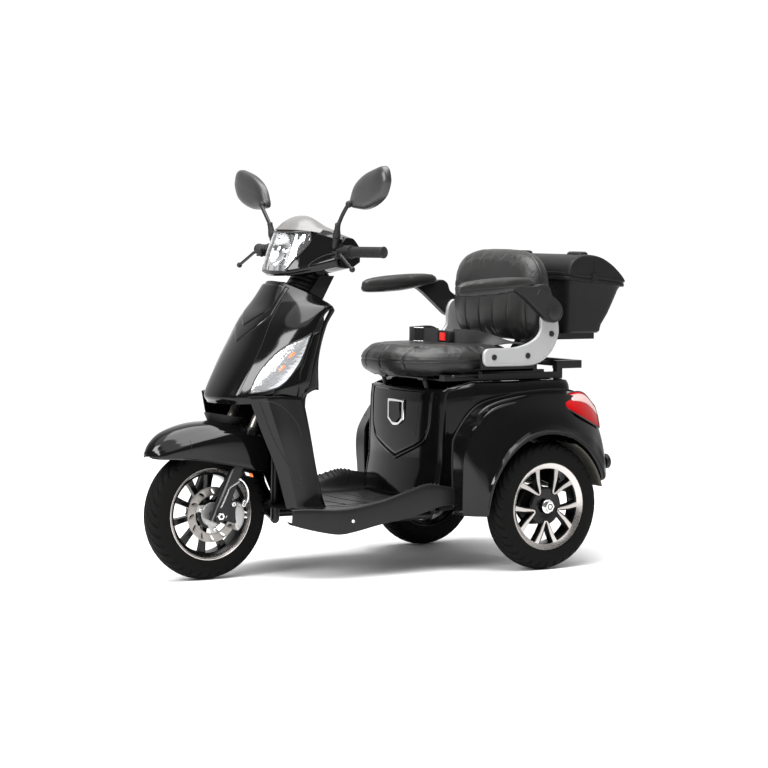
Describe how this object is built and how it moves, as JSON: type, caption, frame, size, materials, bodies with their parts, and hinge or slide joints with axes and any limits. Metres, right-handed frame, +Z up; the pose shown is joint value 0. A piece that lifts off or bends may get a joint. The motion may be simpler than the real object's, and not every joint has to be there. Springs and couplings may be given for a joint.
{
  "type": "three-wheeled mobility scooter",
  "caption": "Enclosed three-wheeled electric mobility scooter with footboard, captain seat, folding armrests, mirrors and lidded luggage box.",
  "frame": {"origin": "on the ground, midway along the length and across the width", "axes": "+Z up, -Y forward, +X towards the rider's left"},
  "size_m": [0.904, 1.686, 1.271],
  "materials": {
    "gloss_black": "gloss black moulding",
    "matt_black": "matt black moulding",
    "dark_grey": "grained dark grey moulding",
    "black_steel": "satin black paint",
    "silver_paint": "satin silver paint",
    "steel": "ground steel",
    "chrome": "bright plated",
    "aluminium": "cast and machined",
    "alloy_black": "gloss black with machined faces",
    "tyre": "treaded rubber",
    "rubber": "moulded rubber",
    "vinyl": "black upholstery vinyl",
    "webbing": "woven polyester",
    "clear": "clear lamp cover",
    "smoke": "smoke grey tint",
    "red_lamp": "red lamp cover",
    "red_plastic": "red",
    "mirror": "black shell with silvered glass"
  },
  "bodies": {
    "chassis": {"main_frame": "black_steel", "floorboard": "matt_black", "front_apron": "gloss_black", "leg_shield": "gloss_black", "side_covers": "gloss_black", "turn_signals": "clear", "battery_pack": "matt_black", "motor_controller": "aluminium", "seat_box_front": "gloss_black", "rear_body": "gloss_black", "rear_fenders": "gloss_black", "tail_lights": "red_lamp", "rear_carrier": "black_steel", "top_box": "dark_grey", "shock_bodies": "black_steel", "shock_springs": "chrome"},
    "glovebox_lid": {"glovebox_door": "gloss_black"},
    "luggage_lid": {"box_lid": "dark_grey"},
    "rear_axle": {"swing_arm": "black_steel", "drive_motor": "aluminium"},
    "rear_wheel_left": {"rear_rim_left": "alloy_black", "rear_tyre_left": "tyre", "half_shaft_left": "steel"},
    "rear_wheel_right": {"rear_rim_right": "alloy_black", "rear_tyre_right": "tyre", "half_shaft_right": "steel"},
    "steering": {"steering_stem": "steel", "handlebar": "black_steel", "control_pods": "matt_black", "grip_left": "rubber", "headlight_cowl": "gloss_black", "headlight_lens": "clear", "headlight_reflector": "chrome", "dash_cover": "gloss_black", "visor": "smoke"},
    "throttle": {"throttle_grip": "rubber"},
    "lever_left": {"brake_lever_left": "aluminium"},
    "lever_right": {"brake_lever_right": "aluminium"},
    "mirror_stem_left": {"mirror_arm_left": "black_steel"},
    "mirror_stem_right": {"mirror_arm_right": "black_steel"},
    "mirror_left": {"mirror_head_left": "mirror"},
    "mirror_right": {"mirror_head_right": "mirror"},
    "key": {"ignition_key": "matt_black"},
    "fork": {"fork_sliders": "black_steel", "brake_caliper": "aluminium", "front_fender": "gloss_black"},
    "front_wheel": {"front_rim": "alloy_black", "front_tyre": "tyre", "brake_disc": "steel"},
    "seat_base": {"seat_platform": "black_steel"},
    "seat": {"seat_frame": "black_steel", "seat_cushion": "vinyl", "back_cushion": "vinyl", "seat_brackets": "silver_paint", "seat_belt": "webbing"},
    "arm_left": {"armrest_left": "vinyl"},
    "arm_right": {"armrest_right": "vinyl"},
    "seat_lever": {"slide_lever": "black_steel"},
    "buckle": {"buckle_button": "red_plastic"}
  },
  "joints": [
    {"name": "steering_turn", "type": "hinge", "parent": "chassis", "child": "steering", "pos_m": [0, -0.43576, 0.55385], "axis": [0, 0.4226, 0.9063], "range_deg": [-38, 38]},
    {"name": "fork_travel", "type": "slide", "parent": "steering", "child": "fork", "axis": [0, 0.4226, 0.9063], "range_m": [0, 0.044], "stiffness_N_per_m": 15000, "springref_m": -0.03},
    {"name": "front_wheel_spin", "type": "hinge", "parent": "fork", "child": "front_wheel", "pos_m": [0, -0.632, 0.204], "axis": [1, 0, 0], "continuous": true},
    {"name": "rear_suspension", "type": "hinge", "parent": "chassis", "child": "rear_axle", "pos_m": [0, 0.15, 0.18], "axis": [1, 0, 0], "range_deg": [0, 4], "stiffness_Nm_per_rad": 3000, "springref_deg": -5.73, "deforming": ["shock_springs"]},
    {"name": "rear_wheel_left_spin", "type": "hinge", "parent": "rear_axle", "child": "rear_wheel_left", "pos_m": [0.334, 0.415, 0.204], "axis": [1, 0, 0], "continuous": true},
    {"name": "rear_wheel_right_spin", "type": "hinge", "parent": "rear_axle", "child": "rear_wheel_right", "pos_m": [-0.334, 0.415, 0.204], "axis": [1, 0, 0], "continuous": true},
    {"name": "brake_lever_left_pull", "type": "hinge", "parent": "steering", "child": "lever_left", "pos_m": [0.227, -0.302, 1], "axis": [0, 0, 1], "range_deg": [0, 16], "stiffness_Nm_per_rad": 0.8, "springref_deg": -11.46},
    {"name": "brake_lever_right_pull", "type": "hinge", "parent": "steering", "child": "lever_right", "pos_m": [-0.227, -0.302, 1], "axis": [0, 0, -1], "range_deg": [0, 16], "stiffness_Nm_per_rad": 0.8, "springref_deg": -11.46},
    {"name": "throttle_twist", "type": "hinge", "parent": "steering", "child": "throttle", "pos_m": [-0.364, -0.229, 1.012], "axis": [-0.9653, 0.2612, 0.0057], "range_deg": [0, 55], "stiffness_Nm_per_rad": 0.3, "springref_deg": -17.19},
    {"name": "mirror_stem_left_swivel", "type": "hinge", "parent": "steering", "child": "mirror_stem_left", "pos_m": [0.191, -0.284, 1.054], "axis": [0.2741, -0.0685, 0.9593], "range_deg": [-25, 25]},
    {"name": "mirror_stem_right_swivel", "type": "hinge", "parent": "steering", "child": "mirror_stem_right", "pos_m": [-0.191, -0.284, 1.054], "axis": [-0.2741, -0.0685, 0.9593], "range_deg": [-25, 25]},
    {"name": "mirror_left_tilt", "type": "hinge", "parent": "mirror_stem_left", "child": "mirror_left", "pos_m": [0.262, -0.282, 1.16], "axis": [1, 0, 0], "range_deg": [-10, 10]},
    {"name": "mirror_right_tilt", "type": "hinge", "parent": "mirror_stem_right", "child": "mirror_right", "pos_m": [-0.262, -0.282, 1.16], "axis": [1, 0, 0], "range_deg": [-10, 10]},
    {"name": "key_turn", "type": "hinge", "parent": "steering", "child": "key", "pos_m": [-0.06, -0.192, 1.042], "axis": [0, 0.8, 0.6], "range_deg": [0, 90]},
    {"name": "glovebox_open", "type": "hinge", "parent": "chassis", "child": "glovebox_lid", "pos_m": [0, -0.2874, 0.588], "axis": [-1, 0, 0], "range_deg": [0, 95]},
    {"name": "seat_tilt", "type": "hinge", "parent": "chassis", "child": "seat_base", "pos_m": [0, 0.1, 0.608], "axis": [1, 0, 0], "range_deg": [0, 50]},
    {"name": "seat_slide", "type": "slide", "parent": "seat_base", "child": "seat", "axis": [0, 1, 0], "range_m": [-0.06, 0.01]},
    {"name": "armrest_left_fold", "type": "hinge", "parent": "seat", "child": "arm_left", "pos_m": [0.286, 0.483, 0.822], "axis": [-1, 0, 0], "range_deg": [0, 95]},
    {"name": "armrest_right_fold", "type": "hinge", "parent": "seat", "child": "arm_right", "pos_m": [-0.286, 0.483, 0.822], "axis": [-1, 0, 0], "range_deg": [0, 95]},
    {"name": "seat_lever_pull", "type": "hinge", "parent": "seat", "child": "seat_lever", "pos_m": [0.214, 0.25, 0.62], "axis": [0, 0, 1], "range_deg": [0, 12], "stiffness_Nm_per_rad": 0.5, "springref_deg": -11.46},
    {"name": "buckle_button_press", "type": "slide", "parent": "seat", "child": "buckle", "axis": [0, 1, 0], "range_m": [0, 0.003], "stiffness_N_per_m": 800, "springref_m": -0.001},
    {"name": "luggage_lid_open", "type": "hinge", "parent": "chassis", "child": "luggage_lid", "pos_m": [0, 0.573, 0.941], "axis": [1, 0, 0], "range_deg": [0, 60]}
  ]
}
